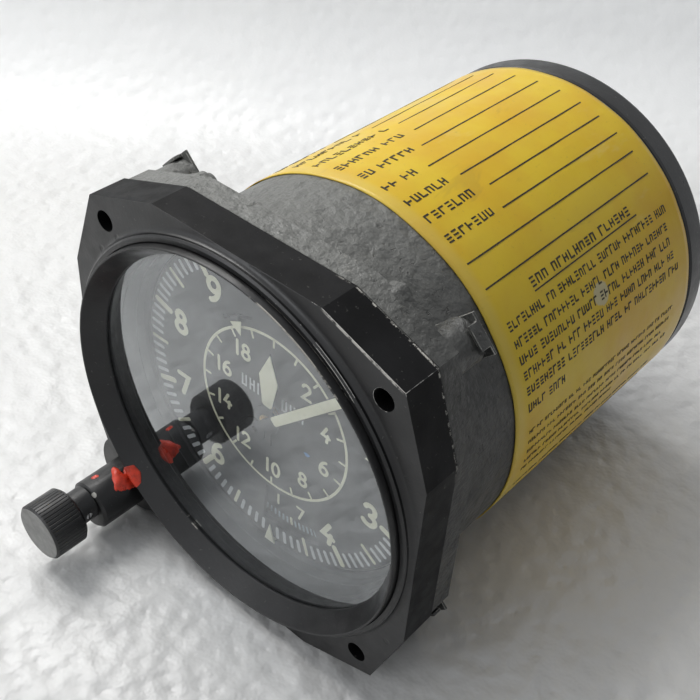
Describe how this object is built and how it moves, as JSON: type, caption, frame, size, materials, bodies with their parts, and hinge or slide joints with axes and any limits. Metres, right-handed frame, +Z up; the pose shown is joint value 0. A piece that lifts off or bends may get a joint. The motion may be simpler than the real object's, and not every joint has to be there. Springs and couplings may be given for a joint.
{
  "type": "aircraft altimeter",
  "caption": "Panel altimeter: round cast case behind a black flange, glazed dial with long and short pointers, setting knob and a geared capsule movement.",
  "frame": {"origin": "on the pointer axis, in the front face of the flange that meets the panel", "axes": "+Y runs back into the panel along the case, +Z is up on the dial, +X is to the pilot's right"},
  "size_m": [0.086, 0.145, 0.086],
  "materials": {
    "black_paint": "satin black paint, worn at the edges",
    "grey_casting": "grey paint on a casting",
    "clear_glass": "clear",
    "black_rubber": "matte",
    "plain_steel": "fine turned",
    "zinc_sheet": "dull zinc plate",
    "yellow_paper": "paper under clear tape",
    "yellow_brass": "satin",
    "light_alloy": "satin",
    "dial_black": "matte black",
    "pointer_cream": "cream luminous paint",
    "jewel_red": "polished",
    "capsule_bronze": "satin bronze"
  },
  "bodies": {
    "case": {"bezel_flange": "black_paint", "retaining_ring": "black_paint", "cover_glass": "clear_glass", "glass_gasket": "black_rubber", "front_gasket": "black_rubber", "case_body": "grey_casting", "rear_gasket": "black_rubber", "rear_cap": "black_paint", "rear_cap_screws": "plain_steel", "static_port": "plain_steel", "port_nut": "plain_steel", "bezel_screws": "plain_steel", "anchor_clips": "zinc_sheet", "anchor_nuts": "plain_steel", "tag_label": "yellow_paper", "setting_sleeve": "black_paint", "sleeve_lock_screw": "plain_steel", "setting_idler_stud": "plain_steel", "dial_clamp_ring": "black_paint", "dial_plate": "dial_black", "dial_spacer": "light_alloy", "motion_stud": "plain_steel", "bearing_ring": "yellow_brass", "bearing_ring_screws": "plain_steel"},
    "knob": {"knob": "black_paint", "knob_set_screw": "plain_steel", "knob_shaft": "plain_steel", "knob_pinion": "yellow_brass"},
    "setting_idler": {"setting_idler": "yellow_brass"},
    "movement": {"base_plate": "yellow_brass", "keeper_ring": "plain_steel", "keeper_screws": "plain_steel", "index_drive_pinion": "yellow_brass", "baro_scale": "dial_black", "outer_index": "pointer_cream", "movement_pillars": "yellow_brass", "centre_cock": "yellow_brass", "back_plate": "yellow_brass", "plate_screws": "plain_steel", "pivot_bushes": "jewel_red", "capsule_bracket": "plain_steel", "capsule_nut": "yellow_brass", "aneroid_capsules": "capsule_bronze", "shaft_cock": "yellow_brass"},
    "index_idler": {"index_idler": "yellow_brass"},
    "km_index": {"km_index_wheel": "yellow_brass", "km_index": "pointer_cream"},
    "pointer": {"centre_arbor": "plain_steel", "cannon_pinion": "yellow_brass", "long_pointer": "pointer_cream", "hairspring": "plain_steel"},
    "pointer_idler": {"pointer_idler": "yellow_brass"},
    "short_pointer": {"hour_wheel": "yellow_brass", "short_pointer": "pointer_cream"},
    "second": {"second_arbor": "plain_steel", "second_wheel": "yellow_brass"},
    "sector": {"sector": "yellow_brass", "rocking_shaft": "plain_steel"},
    "link": {"capsule_link": "plain_steel"}
  },
  "joints": [
    {"name": "setting_turn", "type": "hinge", "parent": "case", "child": "movement", "pos_m": [0, 0.017, 0], "axis": [0, 1, 0], "range_deg": [-165, 165]},
    {"name": "knob_turn", "type": "hinge", "parent": "case", "child": "knob", "pos_m": [-0.0329, -0.018, -0.0329], "axis": [0, 1, 0], "range_deg": [-1432, 1432]},
    {"name": "setting_idler_turn", "type": "hinge", "parent": "case", "child": "setting_idler", "pos_m": [-0.02615, 0.017, -0.02615], "axis": [0, 1, 0], "range_deg": [-860, 860]},
    {"name": "index_idler_turn", "type": "hinge", "parent": "case", "child": "index_idler", "pos_m": [0.009, 0.014, 0], "axis": [0, 1, 0], "range_deg": [-33.5, 33.5]},
    {"name": "km_index_turn", "type": "hinge", "parent": "case", "child": "km_index", "pos_m": [0, 0.012, 0], "axis": [0, 1, 0], "range_deg": [-8.75, 8.75]},
    {"name": "pointer_turn", "type": "hinge", "parent": "movement", "child": "pointer", "pos_m": [0, 0.015, 0], "axis": [0, 1, 0], "range_deg": [-45, 7155], "deforming": ["hairspring"]},
    {"name": "second_turn", "type": "hinge", "parent": "movement", "child": "second", "pos_m": [0.00121, 0.028, 0.01585], "axis": [0, 1, 0], "range_deg": [-745.81, 5.19]},
    {"name": "sector_turn", "type": "hinge", "parent": "movement", "child": "sector", "pos_m": [-0.02, 0.04, 0.004], "axis": [0, 1, 0], "range_deg": [-0.88, 60.12]},
    {"name": "capsule_slide", "type": "slide", "parent": "movement", "child": "link", "axis": [-1, 0, 0], "range_m": [-0.0001, 0.0061], "deforming": ["aneroid_capsules"]},
    {"name": "pointer_idler_turn", "type": "hinge", "parent": "index_idler", "child": "pointer_idler", "pos_m": [0.009, 0.014, 0], "axis": [0, 1, 0], "range_deg": [-1431.5, 9.5]},
    {"name": "short_pointer_turn", "type": "hinge", "parent": "km_index", "child": "short_pointer", "pos_m": [0, 0.012, 0], "axis": [0, 1, 0], "range_deg": [-2.75, 358.25]}
  ],
  "couplings": [
    {"joint": "knob_turn", "follows": "setting_turn", "ratio": 8.6667},
    {"joint": "setting_idler_turn", "follows": "setting_turn", "ratio": -5.2},
    {"joint": "index_idler_turn", "follows": "setting_turn", "ratio": -0.2},
    {"joint": "km_index_turn", "follows": "setting_turn", "ratio": 0.05},
    {"joint": "second_turn", "follows": "pointer_turn", "ratio": -0.10417},
    {"joint": "sector_turn", "follows": "pointer_turn", "ratio": 0.0083333},
    {"joint": "capsule_slide", "follows": "pointer_turn", "m_per_rad": 0.000047746},
    {"joint": "pointer_idler_turn", "follows": "pointer_turn", "ratio": -0.2},
    {"joint": "short_pointer_turn", "follows": "pointer_turn", "ratio": 0.05}
  ]
}
